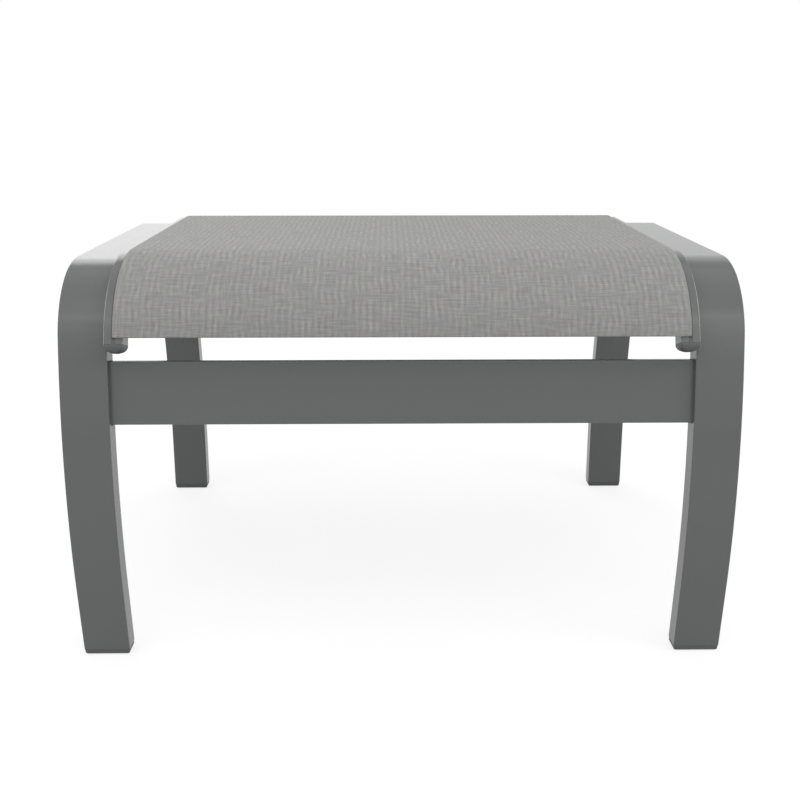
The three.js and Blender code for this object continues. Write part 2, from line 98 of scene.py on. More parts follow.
class SideTubeSizes(bpy.types.PropertyGroup):
    """The two bent tubes that carry everything, and the cross tubes between their legs."""

    width: distance("Width", "Wide face of the side tube", 45.5)
    depth: distance("Depth", "Narrow face of the side tube", 20)
    wall: distance("Wall", "Wall of all square tubes", 1.5)
    corner: distance("Corner", "Outside corner radius of the side tube", 1.2)
    top_flat: distance("Top Flat", "Straight stretch along the top", 257)
    bend_radius: distance("Bend Radius", "Bend at the outer face", 84)
    bend_turn: turning("Bend Turn", "Turn of the bend over the top corner", 76)
    bow_radius: distance("Bow Radius", "Slow bow of the legs at the outer face", 820)
    bow_turn: turning("Bow Turn", "Turn of the slow bow", 17.7)
    end_level: distance("End Level", "Floor to the open end of a leg", 6.5)
    bar_height: distance("Bar Height", "Wide face of a cross tube", 60)
    bar_thickness: distance("Bar Thickness", "Narrow face of a cross tube", 12)
    bar_corner: distance("Bar Corner", "Outside corner radius of the flat bars", 1)
    weld: distance("Weld", "Leg of the fillet weld round a cross tube", 2.2)


class RailSizes(bpy.types.PropertyGroup):
    """The grooved rails that hold the sling's edges, and their end caps."""

    depth: distance("Depth", "Outer face to inner face of the rail", 20)
    wall: distance("Wall", "Wall of the extrusion", 1.8)
    corner: distance("Corner", "Outside corner radius", 1.5)
    reach: distance("Reach", "How much longer the rail's flat is at each end", 6.5)
    extra_radius: distance("Extra Radius", "Rail bend above that of the side tube", 13)
    turn: turning("Turn", "Turn of the rail's bend", 70.5)
    tail: distance("Tail", "Straight end past the bend", 6.8)
    groove: distance("Groove", "Radius of the round groove", 3.4)
    mouth: distance("Mouth", "Slot that the fabric passes", 2.6)
    groove_depth: distance("Groove Depth", "Outer face to the middle of the groove", 4.9)
    cap_length: distance("Cap Length", "Dome past the end of the rail", 8)
    cap_round: distance("Cap Round", "Rounding of the dome", 7.6)
    slack: distance("Slack", "Room round a stem in its hole", 0.3)


class SlingSizes(bpy.types.PropertyGroup):
    """The woven sling and the rods in its hems."""

    thickness: distance("Thickness", "Sheet with its ribs", 1.85)
    clearance: distance("Clearance", "Rail to the underside of the sheet", 0.35)
    neck: distance("Neck", "Both layers where they pass the groove's mouth", 1.8)
    hem: distance("Hem", "Radius of the hem in the groove", 3)
    hem_wall: distance("Hem Wall", "Cloth round the rod", 1.1)
    rod: distance("Rod", "Radius of the rod", 1.6)
    rod_inset: distance("Rod Inset", "Rod short of the fabric's edge", 2)
    tail: distance("Tail", "Straight end past the bend", 1.5)
    rib_pitch: distance("Rib Pitch", "One lengthwise rib to the next", 6.07)
    rib_height: distance("Rib Height", "Rise and fall of a rib", 0.13)
    edge_round: distance("Edge Round", "Rounding of the front and rear edges", 0.9)


class FittingSizes(bpy.types.PropertyGroup):
    """Foot glides, spreader bars and fasteners."""

    glide_inset: distance("Glide Inset", "Foot inside the tube's outline", 0.5)
    glide_round: distance("Glide Round", "Rounding under the foot", 3.4)
    stem_inset: distance("Stem Inset", "Stem inside the tube's outline", 3.4)
    stem_length: distance("Stem Length", "Foot to the end of the stem", 24)
    fin: distance("Fin", "Reach of a gripping fin", 1.6)
    bar_width: distance("Bar Width", "Wide face of a spreader bar", 30)
    bar_thickness: distance("Bar Thickness", "Narrow face of a spreader bar", 12)
    plate: distance("Plate", "End plate of a spreader bar", 2.5)
    plate_corner: distance("Plate Corner", "Corner radius of an end plate", 3)
    plate_margin: distance("Plate Margin", "Bolt axis to the top of a plate", 8)
    spacing: distance("Spacing", "Middle bolt to an outer bolt", 100)
    bolt: distance("Bolt", "Shank radius", 3)
    bore: distance("Bore", "Radius of a bolt hole", 3.3)
    head: distance("Head", "Radius of a bolt's head", 5.25)
    head_height: distance("Head Height", "Height of a bolt's head", 3.3)
    washer: distance("Washer", "Radius of a washer", 6)
    nut_bore: distance("Nut Bore", "Radius of the hole for a rivet nut", 4.6)


class Finishes(bpy.types.PropertyGroup):
    """Colours and textures."""

    coat: colour("Coat", "Powder coat on the tubes and rails", 0.128, 0.134, 0.131)
    sling: colour("Sling", "Woven sling", 0.2975, 0.2965, 0.2855)
    plug: colour("Plug", "Moulded caps and glides", 0.122, 0.126, 0.124)
    rod: colour("Rod", "Rod in the hem", 0.66, 0.66, 0.62)
    steel: colour("Steel", "Plated fasteners", 0.60, 0.61, 0.62)
    # light and dark of the ribs: partly the weave's own tone, partly painted shade in the rib
    # valleys
    rib_contrast: share("Rib Contrast", "Light and dark of the ribs", 0.064)
    slub_contrast: share("Slub Contrast", "Light and dark of thick yarns", 0.27)
    yarn_contrast: share("Yarn Contrast", "Light and dark of single yarns", 0.10)


class StageSizes(bpy.types.PropertyGroup):
    """The plain studio around the ottoman."""

    ambient: share("Ambient", "Light from all round", 0.55)
    floor_glow: share("Floor Glow", "How much of the floor's white takes no shadow", 0.783)
    lens: FloatProperty(name="Lens", description="Focal length on a 36 mm sensor", default=43.46)


SIZE_GROUPS = {
    "ottoman_tubes": SideTubeSizes,
    "ottoman_rails": RailSizes,
    "ottoman_sling": SlingSizes,
    "ottoman_fittings": FittingSizes,
    "ottoman_finishes": Finishes,
    "ottoman_stage": StageSizes,
}


# Node trees


def arithmetic(operation):
    return lambda first, second: first.tree.math(operation, first, second)


class Value:
    """An output in a node tree that takes plain arithmetic."""

    __add__, __sub__ = arithmetic("ADD"), arithmetic("SUBTRACT")
    __mul__, __truediv__ = arithmetic("MULTIPLY"), arithmetic("DIVIDE")

    def __init__(self, tree, socket):
        self.tree, self.socket = tree, socket

    def __getitem__(self, name):
        """Another output of the same node."""
        return Value(self.tree, self.socket.node.outputs[name])

    def __rsub__(self, other):
        return self.tree.math("SUBTRACT", other, self)


class Tree:
    """Adds nodes to a node tree and joins their sockets."""

    def __init__(self, tree):
        self.tree = tree

    def add(self, kind, sockets=None, output=0, **settings):
        """A new node's output, the first unless another is named."""
        node = self.tree.nodes.new(kind)
        for name, value in settings.items():
            setattr(node, name, value)
        for name, value in (sockets or {}).items():
            self.feed(node.inputs[name], value)
        return Value(self, node.outputs[output])

    def shape(self, kind, *sockets, **settings):
        return self.add("GeometryNode" + kind, *sockets, **settings)

    def shade(self, kind, *sockets, **settings):
        return self.add("ShaderNode" + kind, *sockets, **settings)

    def feed(self, socket, value):
        if isinstance(value, Value):
            self.tree.links.new(value.socket, socket)
        else:
            socket.default_value = value

    def math(self, operation, *values, kind="Math"):
        return self.shade(kind, dict(enumerate(values)), operation=operation)

    def vector(self, x, y, z=0.0):
        return self.shade("CombineXYZ", {"X": x, "Y": y, "Z": z})

    def split(self, vector):
        parts = self.shade("SeparateXYZ", {"Vector": vector})
        return [parts[axis] for axis in "XYZ"]

    def scaled(self, vector, scale):
        return self.shade("VectorMath", {"Vector": vector, "Scale": scale}, operation="SCALE")

    def end_in(self, output, unused, plain, seen, shown):
        """Ends a shader tree: one shader for the rays in shown, and a plain one for the rest."""
        self.tree.nodes.remove(self.tree.nodes[unused])
        mix = self.shade("MixShader", {"Fac": shown, 1: plain, 2: seen})
        self.feed(self.tree.nodes[output].inputs["Surface"], mix)


class Group(Tree):
    """A node group with named inputs and outputs."""

    def __init__(self, name, kind="GeometryNodeTree"):
        super().__init__(bpy.data.node_groups.new(name, kind))
        self.start = self.tree.nodes.new("NodeGroupInput")
        self.end = self.tree.nodes.new("NodeGroupOutput")

    def socket(self, name, kind, way):
        kind = "NodeSocket" + kind
        return self.tree.interface.new_socket(name=name, in_out=way, socket_type=kind)

    def takes(self, name, kind="Float", default=None):
        socket = self.socket(name, kind, "INPUT")
        if default is not None:
            socket.default_value = default
        return Value(self, self.start.outputs[name])

    def numbers(self, *names):
        return [self.takes(name) for name in names]

    def gives(self, name, value, kind="Float"):
        self.socket(name, kind, "OUTPUT")
        self.feed(self.end.inputs[name], value)

    def gives_mesh(self, geometry):
        """Ends a geometry tree: real geometry in the piece's own finish."""
        real = self.shape("RealizeInstances", {"Geometry": geometry})
        painted = {"Geometry": real, "Material": self.takes("Material", "Material")}
        self.gives("Geometry", self.shape("SetMaterial", painted), "Geometry")
        return self.tree


@cache
def bender():
    """Bends straight stock as the side tubes are bent.

    Y is the length along the outer face from the middle, and Z the height over that face.
    """
    group = Group("Bend To The Side Profile")
    geometry = group.takes("Geometry", "Geometry")
    top_flat, level, radius, turn = group.numbers(
        "Top Flat", "Top Level", "Bend Radius", "Bend Turn"
    )
    bow_radius, bow_turn = group.takes("Bow Radius", default=1.0), group.takes("Bow Turn")
    across, along, height = group.split(group.shape("InputPosition"))

    def past(run, start):
        return group.math("MAXIMUM", run - start, 0.0)

    def both(angle):
        return group.math("SINE", angle), group.math("COSINE", angle)

    flat = top_flat * 0.5
    away = group.math("ABSOLUTE", along)
    bend_run = past(away, flat)
    first = group.math("MINIMUM", bend_run / radius, turn)
    bow_run = past(bend_run, radius * turn)
    second = group.math("MINIMUM", bow_run / bow_radius, bow_turn)
    tail = past(bow_run, bow_radius * bow_turn)
    first_sine, first_cosine = both(first)
    sine, cosine = both(first + second)
    out = (
        group.math("MINIMUM", away, flat)
        + radius * first_sine
        + bow_radius * (sine - first_sine)
        + tail * cosine
        + height * sine
    )
    drop = (
        radius * (1.0 - first_cosine)
        + bow_radius * (first_cosine - cosine)
        + tail * sine
        - height * cosine
    )
    bent = group.vector(across, out * group.math("SIGN", along), level - drop)
    return group.gives_mesh(group.shape("SetPosition", {"Geometry": geometry, "Position": bent}))


def bolt_row(group):
    """Points at the bolts along one rail, of the tree's inputs Spacing and Level."""
    spacing, level = group.numbers("Spacing", "Level")
    start = group.vector(0.0, spacing * -1.0, level)
    row = {"Count": 3, "Start Location": start, "Offset": group.vector(0.0, spacing)}
    return group.shape("MeshLine", row)


@cache
def borer():
    """Cuts the bolt holes of one rail through a piece, from one X to another."""
    group = Group("Bore For Bolts")
    geometry = group.takes("Geometry", "Geometry")
    low, high, radius = group.numbers("From", "To", "Radius")
    rod = group.shape("MeshCylinder", {"Vertices": 32, "Radius": radius, "Depth": high - low})
    middle = group.vector((low + high) * 0.5, 0.0)
    lying = {"Geometry": rod, "Translation": middle, "Rotation": (0.0, QUARTER, 0.0)}
    row = {"Points": bolt_row(group), "Instance": group.shape("Transform", lying)}
    rods = group.shape("RealizeInstances", {"Geometry": group.shape("InstanceOnPoints", row)})
    meshes = {"Mesh 1": geometry, "Mesh 2": rods}
    bored = group.shape("MeshBoolean", meshes, operation="DIFFERENCE", solver="EXACT")
    return group.gives_mesh(bored)


@cache
def fastener_setter():
    """Sets a fastener made for the right side at every bolt hole, each turned by chance."""
    group = Group("Set Fasteners")
    geometry, plate = group.takes("Geometry", "Geometry"), group.takes("Plate")
    _, along, _ = group.split(group.shape("InputPosition"))
    outer = group.math("GREATER_THAN", group.math("ABSOLUTE", along), 0.01)
    row = {"Geometry": bolt_row(group), "Offset": group.vector(outer * plate * -1.0, 0.0)}
    shifted = group.shape("SetPosition", row)
    both = group.shape("JoinGeometry")
    for seed, (_, sign) in enumerate(SIDES, 3):
        limits = {"Max": (FULL, 0.0, 0.0), "Seed": seed}
        chance = group.add("FunctionNodeRandomValue", limits, data_type="FLOAT_VECTOR")
        spots = {"Points": shifted, "Instance": geometry, "Rotation": chance}
        faced = (0.0, 0.0, 0.0 if sign > 0 else math.pi)
        copies = {"Geometry": group.shape("InstanceOnPoints", spots), "Rotation": faced}
        group.feed(both.socket.node.inputs[0], group.shape("Transform", copies))
    return group.gives_mesh(both)


@cache
def welder():
    """Lays a weld bead along the edges of its input, with the ripples of each pass."""
    group = Group("Lay Weld Bead")
    ripple_pitch, ripple_depth = 0.0022, 0.09
    path = group.shape("MeshToCurve", {"Mesh": group.takes("Geometry", "Geometry")})
    path = group.shape("ResampleCurve", {"Curve": path, "Length": 0.0007}, mode="LENGTH")
    length = group.shape("SplineParameter", output="Length")
    wave = group.math("SINE", length * FULL / ripple_pitch)
    width = group.takes("Size") * (wave * ripple_depth + 1.0)
    profile = group.shape("CurvePrimitiveCircle", {"Resolution": 12, "Radius": 1.0})
    bead = {"Curve": path, "Profile Curve": profile, "Scale": width, "Fill Caps": True}
    return group.gives_mesh(group.shape("CurveToMesh", bead))


# Finishes


@cache
def fine_grain():
    """Faint mottling and a grainy relief, shared by coat, plastic and plating."""
    group = Group("Fine Grain", "ShaderNodeTree")
    vector, tint = group.takes("Vector", "Vector"), group.takes("Colour", "Color")
    scale, spread, roughness, rough_spread = group.numbers(
        "Scale", "Shade Spread", "Roughness", "Roughness Spread"
    )

    def noise(scale, detail):
        return group.shade("TexNoise", {"Vector": vector, "Scale": scale, "Detail": detail})

    fine = noise(scale, 3.0)
    both = fine + noise(scale * 0.06, 2.0) - 1.0
    group.gives("Colour", group.scaled(tint, both * spread + 1.0), "Color")
    group.gives("Roughness", roughness + both * rough_spread)
    group.gives("Height", fine)
    return group.tree


@cache
def weave():
    """The sling's cloth on its own lengths across and along: ribs, yarns and thick places. The
    ribs' light and dark is partly the weave's own tone and partly painted shade in the rib valleys.
    """
    group = Group("Sling Weave", "ShaderNodeTree")
    across, along, _ = group.split(group.takes("Vector", "Vector"))
    tint = group.takes("Colour", "Color")
    pitch, rib_contrast, slub_contrast, yarn_contrast = group.numbers(
        "Rib Pitch", "Rib Contrast", "Slub Contrast", "Yarn Contrast"
    )
    weft_pitch, hue_spread = 0.0014, 0.008

    def wave(turns):
        return group.math("COSINE", turns * FULL)

    def streaks(wide, long, detail=1.0):
        """Noise drawn out to patches this wide and long, from -0.5 to 0.5, and its colour."""
        drawn = group.vector(across / wide, along / long)
        sockets = {"Vector": drawn, "Scale": 1.0, "Detail": detail}
        noise = group.shade("TexNoise", sockets, noise_dimensions="2D")
        return noise - 0.5, noise["Color"]

    wander, _ = streaks(0.05, 0.018)
    # the rib wave darkens the cloth towards each rib's valley: painted shade, on top of the weave's
    # own tone
    rib = wave(across / pitch + wander * 0.75)
    crossing = wave(across / (pitch * 0.25)) * wave(along / weft_pitch)
    lengthwise, _ = streaks(0.0015, 0.012)
    crosswise, _ = streaks(0.020, 0.0015)
    blotches, hue = streaks(0.012, 0.014, 0.0)
    shade = (
        rib * rib_contrast * (blotches * 3.0 + 1.0)
        + 1.0
        + lengthwise * slub_contrast
        + crosswise * slub_contrast * 1.5
        + blotches * 0.06
        + crossing * yarn_contrast
    )
    middle = (-hue_spread / 2,) * 3
    shift = group.math("MULTIPLY_ADD", hue, (hue_spread,) * 3, middle, kind="VectorMath")
    tinted = group.math("ADD", tint, shift, kind="VectorMath")
    group.gives("Colour", group.scaled(tinted, shade), "Color")
    group.gives("Height", crossing * 0.5 + lengthwise * 1.2 + crosswise)
    return group.tree


class Finish(Tree):
    """A material with one Principled shader."""

    def __init__(self, name, constants):
        self.material = bpy.data.materials.new(name)
        self.material.use_nodes = True
        super().__init__(self.material.node_tree)
        self.shader = self.tree.nodes["Principled BSDF"]
        for socket, value in constants.items():
            self.shader.inputs[socket].default_value = value

    def wear(self, tree, values, relief):
        """Feeds the shader from a node group, whose heights stand this far out."""
        made = self.shade("Group", values, node_tree=tree)
        bump = self.shade("Bump", {"Height": made["Height"], "Distance": relief})
        self.feed(self.shader.inputs["Base Color"], made["Colour"])
        self.feed(self.shader.inputs["Normal"], bump)
        if "Roughness" in made.socket.node.outputs:
            self.feed(self.shader.inputs["Roughness"], made["Roughness"])
        return self.material


# By slot: name, colour, grain scale, spread of shade, roughness, its spread, relief, constants
HARD_FINISHES = {
    "frame_coat": (
        "Powder Coat", "coat", 1100.0, 0.02, 0.225, 0.03, 0.000004,
        {"IOR": 1.5, "Coat Weight": 0.25, "Coat Roughness": 0.17},
    ),
    "plug_plastic": ("Moulded Plastic", "plug", 700.0, 0.22, 0.46, 0.30, 0.00008, {"IOR": 1.46}),
    "spline_rod": ("Rod Plastic", "rod", 500.0, 0.08, 0.5, 0.1, 0.00002, {"IOR": 1.46}),
    "fastener_steel": ("Zinc Plate", "steel", 1600.0, 0.2, 0.34, 0.2, 0.00001, {"Metallic": 1.0}),
}


@cache
def finish_of(slot):
    """The material of a slot: the sling's cloth, or one of the smooth hard finishes."""
    scene = bpy.context.scene
    colours = scene.ottoman_finishes
    if slot == "sling_mesh":
        finish = Finish("Sling Cloth", {"Roughness": 0.72, "IOR": 1.4})
        values = {
            "Vector": finish.shade("UVMap", uv_map="Weave"),
            "Rib Pitch": scene.ottoman_sling.rib_pitch,
            "Colour": tuple(colours.sling),
            "Rib Contrast": colours.rib_contrast,
            "Slub Contrast": colours.slub_contrast,
            "Yarn Contrast": colours.yarn_contrast,
        }
        return finish.wear(weave(), values, 0.00012)
    name, tint, scale, shade, roughness, spread, relief, constants = HARD_FINISHES[slot]
    finish = Finish(name, constants)
    values = {
        "Vector": finish.shade("TexCoord", output="Object"),
        "Scale": scale,
        "Colour": tuple(getattr(colours, tint)),
        "Shade Spread": shade,
        "Roughness": roughness,
        "Roughness Spread": spread,
    }
    return finish.wear(fine_grain(), values, relief)


# Sections and straight stock


def arc(middle, radius, start, turn, steps):
    """Points on an arc, from one angle through a turn."""
    angles = [start + turn * step / steps for step in range(steps + 1)]
    return [(middle[0] + radius * math.cos(a), middle[1] + radius * math.sin(a)) for a in angles]


def round_box(width, height, radius, middle=(0.0, 0.0), steps=6):
    """An anticlockwise rectangle with round corners and a point beside each corner's ends."""
    x, y = width / 2 - radius, height / 2 - radius
    loop = []
    for quarter, (u, v) in enumerate(((x, -y), (x, y), (-x, y), (-x, -y)), -1):
        start = quarter * QUARTER
        bend = arc((middle[0] + u, middle[1] + v), radius, start, QUARTER, steps)
        loop += [beside(bend[0], start, -EDGE_RUN), *bend]
        loop.append(beside(bend[-1], start + QUARTER, EDGE_RUN))
    return loop


def beside(point, angle, run):
    """A point a short run along the tangent of an arc."""
    return (point[0] - run * math.sin(angle), point[1] + run * math.cos(angle))


def tube_section(width, height, corner, wall, middle=(0.0, 0.0)):
    """A tube's outline and its hole, whose corners are half as round."""
    hole = round_box(width - 2 * wall, height - 2 * wall, corner / 2, middle, steps=2)
    return [round_box(width, height, corner, middle), hole[::-1]]


def area(loop):
    """Signed area of a loop, above zero when it is anticlockwise."""
    pairs = zip(loop, loop[1:] + loop[:1])
    return sum(a[0] * b[1] - b[0] * a[1] for a, b in pairs) / 2


def within(point, loops):
    """Whether a point lies in a section and in none of its holes."""
    inside = False
    for loop in loops:
        for (u, v), (next_u, next_v) in zip(loop, loop[1:] + loop[:1]):
            if (v > point[1]) != (next_v > point[1]):
                crossing = u + (point[1] - v) * (next_u - u) / (next_v - v)
                inside ^= point[0] < crossing
    return inside


def lid(loops):
    """Anticlockwise triangles that close a section with holes."""
    points, edges = [], []
    for loop in loops:
        start = len(points)
        points += [Vector(p) for p in loop]
        edges += [(start + i, start + (i + 1) % len(loop)) for i in range(len(loop))]
    inside_outline = 1
    _, _, triangles, sources, _, _ = delaunay_2d_cdt(points, edges, [], inside_outline, 1e-9)
    closed = []
    for corners in triangles:
        corners = [sources[c][0] for c in corners]
        a, b, c = (points[corner] for corner in corners)
        if within((a + b + c) / 3, loops):
            closed.append(tuple(corners if area([a, b, c]) > 0 else corners[::-1]))
    return closed


def straight_stock(loops, cuts, place=lambda u, v, cut: (u, cut, v)):
    """Points and faces of a straight length of section, cut along Y from the front to the rear.

    The first loop is the outline, anticlockwise, and the others are holes, clockwise.
    """
    points = [place(u, v, cut) for cut in cuts for loop in loops for u, v in loop]
    layer = sum(len(loop) for loop in loops)
    last = (len(cuts) - 1) * layer
    faces = []
    start = 0
    for loop in loops:
        for near in range(start, start + last, layer):
            far = near + layer
            for i in range(len(loop)):
                j = (i + 1) % len(loop)
                faces.append((near + i, far + i, far + j, near + j))
        start += len(loop)
    for a, b, c in lid(loops):
        faces += [(a, b, c), (last + c, last + b, last + a)]
    return points, faces


def stacked(rings, closed=True):
    """Points and faces of a solid that changes from ring to ring, all with as many points."""
    count = len(rings[0])
    last = (len(rings) - 1) * count
    faces = []
    for near in range(0, last, count):
        far = near + count
        for i in range(count):
            j = (i + 1) % count
            faces.append((near + i, near + j, far + j, far + i))
    if closed:
        faces += [tuple(reversed(range(count))), tuple(range(last, last + count))]
    return [point for ring in rings for point in ring], faces


def merged(*meshes):
    """Several closed shells as the points and faces of one piece."""
    points, faces = [], []
    for more_points, more_faces in meshes:
        start = len(points)
        points += more_points
        faces += [tuple(start + i for i in face) for face in more_faces]
    return points, faces


def half_cuts(lengths):
    """Cuts on both sides of the middle, from the front to the rear."""
    lengths = sorted(set(lengths))
    return [-x for x in reversed(lengths)] + [x for x in lengths if x > 0]


def bend_cuts(flat, radius, turn, steps):
    """Cuts through a bend that starts past a straight stretch."""
    return [flat - EDGE_RUN] + [flat + radius * turn * i / steps for i in range(steps + 1)]


# Pieces


def new_piece(name, solid, finish):
    """A piece at the origin with its place in its mesh."""
    points, faces, *edges = solid
    mesh = bpy.data.meshes.new(name)
    mesh.from_pydata(points, edges[0] if edges else [], faces)
    mesh.materials.append(finish)
    piece = bpy.data.objects.new(name, mesh)
    bpy.context.scene.collection.objects.link(piece)
    return piece


def run_tree(piece, tree, values):
    """Runs a geometry tree on a piece and keeps the result as its plain mesh."""
    modifier = piece.modifiers.new(tree.name, "NODES")
    modifier.node_group = tree
    items = tree.interface.items_tree
    sockets = {item.name: item.identifier for item in items if item.in_out == "INPUT"}
    for name, value in {**values, "Material": piece.data.materials[0]}.items():
        modifier[sockets[name]] = value
    depsgraph = bpy.context.evaluated_depsgraph_get()
    made = bpy.data.meshes.new_from_object(
        piece.evaluated_get(depsgraph), preserve_all_data_layers=True, depsgraph=depsgraph
    )
    if not made.polygons:
        raise RuntimeError(f"{tree.name} left nothing of {piece.name}")
    piece.modifiers.remove(modifier)
    straight, piece.data = piece.data, made
    bpy.data.meshes.remove(straight)
    made.name = piece.name


def make(name, slot, solid, nodes, runs=(), prepare=None, turned=Matrix()):
    """Makes a piece, prepares its mesh, runs geometry trees on it and sets it on the frame."""
    piece = new_piece(name, solid, finish_of(slot))
    piece.data.transform(turned)
    if prepare:
        prepare(piece.data)
    for tree, values in runs:
        run_tree(piece, tree, values)
    piece.data.shade_smooth()
    piece.data.set_sharp_from_angle(angle=SHARP)
    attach(piece, BODY)
    if nodes:
        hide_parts(*nodes)


def middle_of(node):
    low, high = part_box(node)
    return (low + high) / 2


def side_profile(scene):
    """The bender's values for the side tubes."""
    tubes = scene.ottoman_tubes
    return {
        "Top Flat": tubes.top_flat,
        "Top Level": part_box("left_side_frame")[1].z,
        "Bend Radius": tubes.bend_radius,
        "Bend Turn": tubes.bend_turn,
        "Bow Radius": tubes.bow_radius,
        "Bow Turn": tubes.bow_turn,
    }


def rail_profile(scene):
    """The bender's values for the rails, the sling and its rods."""
    tubes, rails = scene.ottoman_tubes, scene.ottoman_rails
    return {
        "Top Flat": tubes.top_flat + 2 * rails.reach,
        "Top Level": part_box("left_sling_rail")[1].z,
        "Bend Radius": tubes.bend_radius + rails.extra_radius,
        "Bend Turn": rails.turn,
    }


def bow_end(scene):
    """The end of a side tube's bow at its outer face: length along the stock, Y and Z."""
    tubes = scene.ottoman_tubes
    bend, heading = tubes.bend_turn, tubes.bend_turn + tubes.bow_turn
    flat, radius, bow = tubes.top_flat / 2, tubes.bend_radius, tubes.bow_radius
    run = flat + radius * bend + bow * tubes.bow_turn
    away = flat + radius * math.sin(bend) + bow * (math.sin(heading) - math.sin(bend))
    drop = radius * (1 - math.cos(bend)) + bow * (math.cos(bend) - math.cos(heading))
    return run, away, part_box("left_side_frame")[1].z - drop


def rail_cuts(scene, steps, tail):
    """Cuts for stock that is bent as a rail, to this far past the bend."""
    profile = rail_profile(scene)
    flat, radius, turn = profile["Top Flat"] / 2, profile["Bend Radius"], profile["Bend Turn"]
    return bend_cuts(flat, radius, turn, steps) + [flat + radius * turn + tail]


def chamber(rails, width, slack=0.0, steps=6):
    """The outline of the rail's hollow under its groove, this much smaller all round."""
    top = rails.groove_depth + rails.groove + rails.wall
    bottom = rails.depth - rails.wall
    width, height = width - 2 * (rails.wall + slack), bottom - top - 2 * slack
    return round_box(width, height, CHAMBER_CORNER, (0.0, -(top + bottom) / 2), steps)


def at_bolts(scene, values):
    """A tree's values, with those that place the row of bolts."""
    level = middle_of("middle_left_rail_bolt").z
    return {"Spacing": scene.ottoman_fittings.spacing, "Level": level, **values}


class Maker:
    """What the operators have in common."""

    bl_options = {"REGISTER", "UNDO"}


class OTTOMAN_OT_side_tubes(Maker, bpy.types.Operator):
    """Bend the two side tubes and bore them for the rivet nuts"""

    bl_idname = "ottoman.side_tubes"
    bl_label = "Side Tubes"

    def execute(self, context):
        scene = context.scene
        tubes, bore = scene.ottoman_tubes, scene.ottoman_fittings.nut_bore
        flat = tubes.top_flat / 2
        heading = tubes.bend_turn + tubes.bow_turn
        bow_start = flat + tubes.bend_radius * tubes.bend_turn
        bow_stop, _, level = bow_end(scene)
        end = bow_stop + (level - tubes.end_level) / math.sin(heading)
        slant = 1 / math.tan(heading)
        bow = bow_stop - bow_start
        bow_cuts = [bow_start + bow * i / BOW_STEPS for i in range(1, BOW_STEPS + 1)]
        bend = bend_cuts(flat, tubes.bend_radius, tubes.bend_turn, BEND_STEPS)
        cuts = half_cuts([*bend, *bow_cuts, end])

        def place(u, v, cut):
            level_cut = math.copysign(slant * v, cut) if abs(cut) == end else 0.0
            return (u, cut + level_cut, v)

        for label, sign in SIDES:
            node = label + "_side_frame"
            centre = (middle_of(node).x, -tubes.depth / 2)
            loops = tube_section(tubes.width, tubes.depth, tubes.corner, tubes.wall, centre)
            face = centre[0] - sign * tubes.width / 2
            low, high = sorted((face - sign * tubes.wall, face + sign * 2 * tubes.wall))
            holes = at_bolts(scene, {"From": low, "To": high, "Radius": bore})
            runs = [(bender(), side_profile(scene)), (borer(), holes)]
            stock = straight_stock(loops, cuts, place)
            make("bent_tube_" + label, "frame_coat", stock, [node], runs)
        return {"FINISHED"}


def leg_lean(scene, level):
    """Heading of the leg's middle line at a level in its bow."""
    tubes = scene.ottoman_tubes
    half, cosine = tubes.depth / 2, math.cos(tubes.bend_turn)
    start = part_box("left_side_frame")[1].z - tubes.bend_radius * (1 - cosine) - half * cosine
    return math.acos(cosine - (start - level) / (tubes.bow_radius - half))


class OTTOMAN_OT_cross_tubes(Maker, bpy.types.Operator):
    """Set the two cross tubes between the legs and weld them"""

    bl_idname = "ottoman.cross_tubes"
    bl_label = "Cross Tubes"

    def execute(self, context):
        scene = context.scene
        tubes = scene.ottoman_tubes
        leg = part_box("right_side_frame")[0].x
        loops = tube_section(tubes.bar_height, tubes.bar_thickness, tubes.bar_corner, tubes.wall)
        # the welded part of the outline: the underside and the inner face
        seam = loops[0][3 * len(loops[0]) // 4 - 1 :] + loops[0][:1]
        stock = straight_stock(loops, [-leg, leg])
        points, edges = [], []
        for label, sign in ENDS:
            node = label + "_crossbar"
            centre = middle_of(node)
            lean = leg_lean(scene, centre.z)
            up = Vector((0.0, -sign * math.cos(lean), math.sin(lean)))
            out = Vector((0.0, sign * math.sin(lean), math.cos(lean)))
            turned = Matrix((up, out.cross(up), out)).transposed().to_4x4()
            turned.translation = centre
            make("cross_tube_" + label, "frame_coat", stock, [node], turned=turned)
            for side in (-leg, leg):
                start = len(points)
                points += [turned @ Vector((u, side, v)) for u, v in seam]
                edges += [(start + i, start + i + 1) for i in range(len(seam) - 1)]
        runs = [(welder(), {"Size": tubes.weld / 2})]
        make("crossbar_welds", "frame_coat", (points, [], edges), [], runs)
        return {"FINISHED"}


def rail_section(rails, middle, width):
    """A keyhole groove over a hollow chamber, with the outer face at height zero."""
    lip, lip_round = rails.mouth / 2, 0.0003
    opening = math.asin(lip / rails.groove)
    box = round_box(width, rails.depth, rails.corner, (0.0, -rails.depth / 2))
    half = len(box) // 2
    loop = [(-lip, -lip_round), (-lip - lip_round, 0.0), *box[half:], *box[:half]]
    loop += [(lip + lip_round, 0.0), (lip, -lip_round)]
    centre, turn = (0.0, -rails.groove_depth), 2 * opening - FULL
    loop += arc(centre, rails.groove, QUARTER - opening, turn, GROOVE_STEPS)
    hollow = chamber(rails, width, steps=2)
    return [[(middle + u, v) for u, v in part] for part in (loop, hollow[::-1])]


